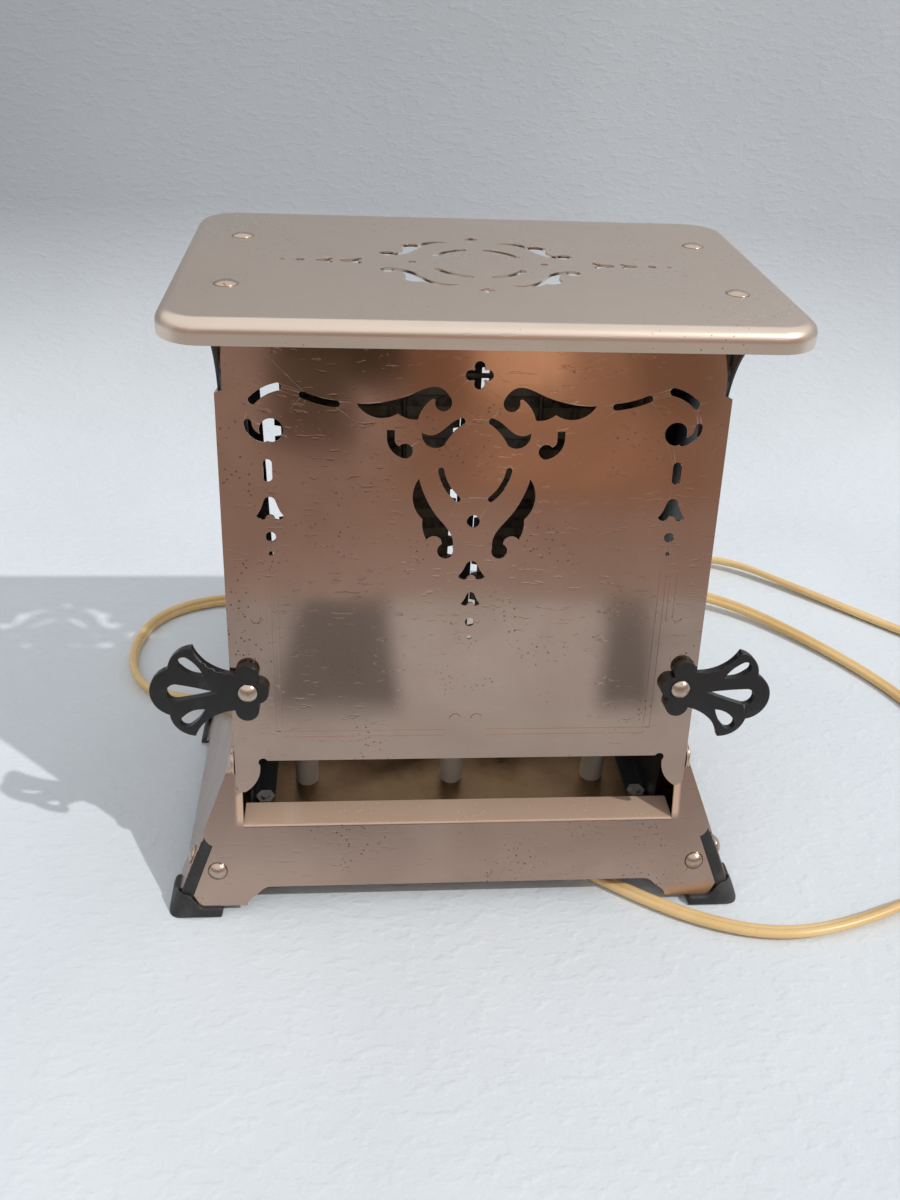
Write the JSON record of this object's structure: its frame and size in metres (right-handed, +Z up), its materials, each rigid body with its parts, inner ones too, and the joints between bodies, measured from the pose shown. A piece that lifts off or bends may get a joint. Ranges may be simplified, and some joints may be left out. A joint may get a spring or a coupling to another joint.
{
  "type": "drop side toaster",
  "caption": "Drop side electric toaster: pierced hinged doors either side of an upright element, scrollwork top plate, splayed base and flexible cord.",
  "frame": {"origin": "on the table, under the middle of the top plate", "axes": "+X along the toaster to the right, +Y to the rear, +Z up"},
  "size_m": [0.4349, 0.3278, 0.1935],
  "materials": {
    "worn_nickel": "worn nickel plate",
    "rivet_nickel": "nickel plated",
    "screw_steel": "zinc plated",
    "tray_steel": "dull",
    "black_steel": "black enamel",
    "black_moulding": "satin",
    "mica": "satin mica",
    "ribbon": "oxidised resistance ribbon",
    "porcelain": "glazed",
    "guard_steel": "dull",
    "terminal_brass": "plain",
    "sleeving": "woven glass sleeving",
    "fibre": "vulcanised fibre",
    "cord_cover": "satin",
    "plug_moulding": "satin"
  },
  "bodies": {
    "body": {"base_shell": "worn_nickel", "base_tray": "tray_steel", "bread_guard_front": "guard_steel", "bread_guard_rear": "guard_steel", "centre_post": "black_steel", "cord": "cord_cover", "cord_bushing": "fibre", "cord_coil": "cord_cover", "cord_tail": "cord_cover", "element_rail_bottom": "black_steel", "element_rail_top": "black_steel", "end_frame_left": "black_steel", "end_frame_right": "black_steel", "foot_front_left": "black_moulding", "foot_front_right": "black_moulding", "foot_rear_left": "black_moulding", "foot_rear_right": "black_moulding", "foot_rivets": "rivet_nickel", "frame_screws": "screw_steel", "hinge_pins_front": "rivet_nickel", "hinge_pins_rear": "rivet_nickel", "insulator_screws": "screw_steel", "insulators": "porcelain", "lead_wires": "sleeving", "mica_card_left": "mica", "mica_card_right": "mica", "plug_body": "plug_moulding", "plug_pins": "terminal_brass", "ribbon_left": "ribbon", "ribbon_right": "ribbon", "supply_leads": "sleeving", "terminal_block": "porcelain", "terminal_screws": "terminal_brass", "top_plate": "worn_nickel", "top_plate_rivets": "rivet_nickel"},
    "front_door_body": {"front_door": "worn_nickel", "front_handle_left": "black_moulding", "front_handle_right": "black_moulding", "front_handle_rivets": "rivet_nickel"},
    "rear_door_body": {"rear_door": "worn_nickel", "rear_handle": "black_moulding", "rear_handle_rivet": "rivet_nickel"}
  },
  "joints": [
    {"name": "front_door_hinge", "type": "hinge", "parent": "body", "child": "front_door_body", "pos_m": [0, -0.0332, 0.0507], "axis": [1, 0, 0], "range_deg": [0, 120.44]},
    {"name": "rear_door_hinge", "type": "hinge", "parent": "body", "child": "rear_door_body", "pos_m": [0, 0.0332, 0.0507], "axis": [1, 0, 0], "range_deg": [0, 120.44]}
  ]
}
